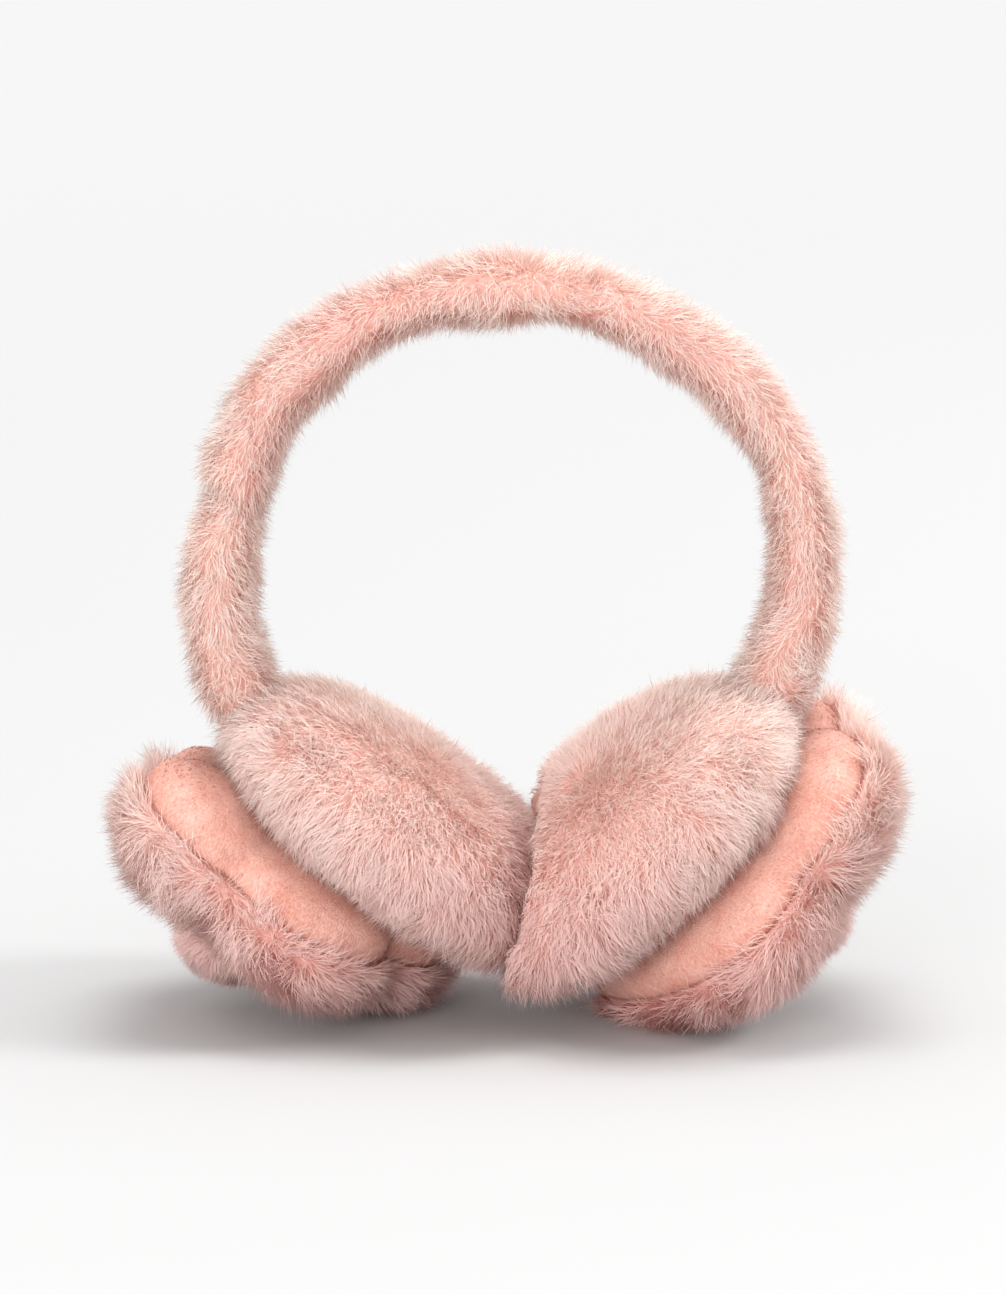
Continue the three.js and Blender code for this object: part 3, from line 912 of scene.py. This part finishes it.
class EARMUFFS_OT_backs(bpy.types.Operator):
    """Make the velour backs of the flowers"""
    bl_idname = "earmuffs.backs"
    bl_label = "Flower backs"

    def execute(self, context):
        settings = context.scene.earmuffs_velour
        velour = made("plush_velour", velour_material, settings.deep, settings.light)
        for name, ear in EARS.items():
            rng = np.random.default_rng(80 + ear["seed"])
            skin = skin_mesh("back_skin", velour_shape(ear), 0, 60, 160, on_floor)
            strands = nap_strands(ear, settings, rng)
            piece = fur_object(f"flower_back_{name}_velour", skin, strands, velour)
            store_ear_place(piece.data, ear)
            hand_over(piece, f"flower_back_{name}")
        return {"FINISHED"}


def stitch_row(ear, count):
    """Small slanted stitches all along a flower's seam: middles, directions and normals."""
    point = velour_shape(ear)
    a = (np.arange(count) + 0.5) * 2 * math.pi / count
    t = np.full(count, RIM + 0.004)
    here, normals, along = frames_at(point, t, a, 0.25)
    across = unit(point(t, a + 0.002, 0.25) - point(t, a - 0.002, 0.25))
    return here, unit(across + 0.55 * along), normals


def stitch_mesh(name, ear):
    """The seam's stitches as one mesh of small six-sided beads, drawn out along the thread."""
    here, line, normals = stitch_row(ear, STITCHES)
    side = unit(np.cross(line, normals))
    rise = unit(np.cross(side, line))
    here = (on_floor(here) + SHIFT) * MM
    thin, long = STITCH_WIDTH * MM / 2, STITCH_LENGTH * MM / 2
    body = bmesh.new()
    for place, way, left, up in zip(here, line, side, rise):
        turn = Matrix((left, up, way)).transposed().to_4x4()
        size = Matrix.Diagonal((thin, thin, long, 1))
        bmesh.ops.create_uvsphere(body, u_segments=6, v_segments=3, radius=1.0,
                                  matrix=Matrix.Translation(place) @ turn @ size)
    return finished_mesh(name, body)


class EARMUFFS_OT_seams(bpy.types.Operator):
    """Make the stitched seams between velour and fur"""
    bl_idname = "earmuffs.seams"
    bl_label = "Seams"

    def execute(self, context):
        settings = context.scene.earmuffs_velour
        thread = made("sewing_thread", thread_material, settings.thread)
        for name, ear in EARS.items():
            mesh = stitch_mesh(f"flower_seam_{name}", ear)
            piece = add_object(f"flower_seam_{name}", mesh, thread)
            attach(piece, "root")
        return {"FINISHED"}


# ---------------------------------------------------------------- stage

def area_light(name, place, aim, size, power):
    """A soft square white light."""
    data = bpy.data.lights.new(name, "AREA")
    data.size = size
    data.energy = power
    lamp = bpy.data.objects.new(name, data)
    lamp.location = place
    lamp.rotation_euler = (Vector(aim) - Vector(place)).to_track_quat("-Z", "Y").to_euler()
    bpy.context.scene.collection.objects.link(lamp)


def floor_mesh(size):
    """A flat floor, wide enough to fill the view up to the horizon."""
    body = bmesh.new()
    bmesh.ops.create_grid(body, x_segments=1, y_segments=1, size=size / 2)
    mesh = bpy.data.meshes.new("floor")
    body.to_mesh(mesh)
    body.free()
    return mesh


def floor_material(name, colour, share):
    """Seamless studio paper. What the lights no longer give far off, the paper makes up."""
    material, tree, surface = blank_material(name)
    place = node(tree, "ShaderNodeTexCoord").outputs["Object"]
    far = node(tree, "ShaderNodeVectorMath", {"operation": "DOT_PRODUCT"}, {0: place, 1: place})
    spread = {"operation": "MULTIPLY_ADD", 1: 1 / LIT_REACH ** 2, 2: 1.0}
    reach = node(tree, "ShaderNodeMath", spread, {0: far.outputs["Value"]}).outputs["Value"]
    left = node(tree, "ShaderNodeMath", {"operation": "POWER", 1: -2.0},
                {0: reach}).outputs["Value"]
    lost = node(tree, "ShaderNodeMath", {"operation": "MULTIPLY_ADD", 1: -share, 2: share},
                {0: left}).outputs["Value"]
    surface.inputs["Base Color"].default_value = linear(colour)
    surface.inputs["Roughness"].default_value = 0.9
    surface.inputs["Specular IOR Level"].default_value = 0.0
    surface.inputs["Emission Color"].default_value = (1.0, 1.0, 1.0, 1.0)
    tree.links.new(lost, surface.inputs["Emission Strength"])
    return material


def studio_world():
    """A white studio, brighter overhead."""
    world = bpy.data.worlds.new("studio")
    world.use_nodes = True
    tree = world.node_tree
    background = tree.nodes["Background"]
    way = node(tree, "ShaderNodeTexCoord").outputs["Generated"]
    height = node(tree, "ShaderNodeSeparateXYZ", links={"Vector": way}).outputs["Z"]
    strength = node(tree, "ShaderNodeMapRange", {"To Min": 0.65, "To Max": 1.2}, {"Value": height})
    background.inputs["Color"].default_value = (1.0, 1.0, 1.0, 1.0)
    tree.links.new(strength.outputs["Result"], background.inputs["Strength"])
    return world


def camera_and_view(settings):
    """The camera at the photograph's angle."""
    aim = Vector((-0.00195, 0.0, 0.1005))
    data = bpy.data.cameras.new("camera")
    data.sensor_fit = "HORIZONTAL"
    data.sensor_width = 36.0
    data.lens = settings.lens
    camera = bpy.data.objects.new("camera", data)
    back = Vector((0, -math.cos(settings.elevation), math.sin(settings.elevation)))
    camera.location = aim + back * settings.distance
    camera.rotation_euler = (-back).to_track_quat("-Z", "Y").to_euler()
    bpy.context.scene.collection.objects.link(camera)
    bpy.context.scene.camera = camera


class EARMUFFS_OT_stage(bpy.types.Operator):
    """Make the floor, the lights and the camera"""
    bl_idname = "earmuffs.stage"
    bl_label = "Stage"

    def execute(self, context):
        settings = context.scene.earmuffs_stage
        scene = context.scene
        floor = add_object("floor", floor_mesh(60.0),
                           made("studio_paper", floor_material, settings.floor, LIT_SHARE))
        scene.world = studio_world()
        for name, light in LIGHTS.items():
            area_light(name, *light)
        camera_and_view(settings)
        scene.view_settings.view_transform = "Standard"
        scene.cycles.max_bounces = 5
        return {"FINISHED"}


class EARMUFFS_PT_sidebar(bpy.types.Panel):
    """Lists the earmuffs' operators"""
    bl_idname = "EARMUFFS_PT_sidebar"
    bl_label = "Earmuffs"
    bl_space_type = "VIEW_3D"
    bl_region_type = "UI"
    bl_category = "Earmuffs"

    def draw(self, context):
        for operator in OPERATORS:
            self.layout.operator(operator.bl_idname)


OPERATORS = (
    EARMUFFS_OT_headband, EARMUFFS_OT_pads, EARMUFFS_OT_backs, EARMUFFS_OT_fronts,
    EARMUFFS_OT_centres, EARMUFFS_OT_seams, EARMUFFS_OT_stage,
)
CLASSES = (FurSettings, VelourSettings, StageSettings) + OPERATORS + (EARMUFFS_PT_sidebar,)


def register():
    """Add the classes and their settings."""
    for cls in CLASSES:
        bpy.utils.register_class(cls)
    bpy.types.Scene.earmuffs_fur = bpy.props.PointerProperty(type=FurSettings)
    bpy.types.Scene.earmuffs_velour = bpy.props.PointerProperty(type=VelourSettings)
    bpy.types.Scene.earmuffs_stage = bpy.props.PointerProperty(type=StageSettings)


def unregister():
    """Take the settings and the classes away again."""
    del bpy.types.Scene.earmuffs_stage
    del bpy.types.Scene.earmuffs_velour
    del bpy.types.Scene.earmuffs_fur
    for cls in reversed(CLASSES):
        bpy.utils.unregister_class(cls)


def main():
    """Build everything."""
    register()
    bpy.ops.earmuffs.headband()
    bpy.ops.earmuffs.pads()
    bpy.ops.earmuffs.backs()
    bpy.ops.earmuffs.fronts()
    bpy.ops.earmuffs.centres()
    bpy.ops.earmuffs.seams()
    bpy.ops.earmuffs.stage()


if __name__ == "__main__":
    main()
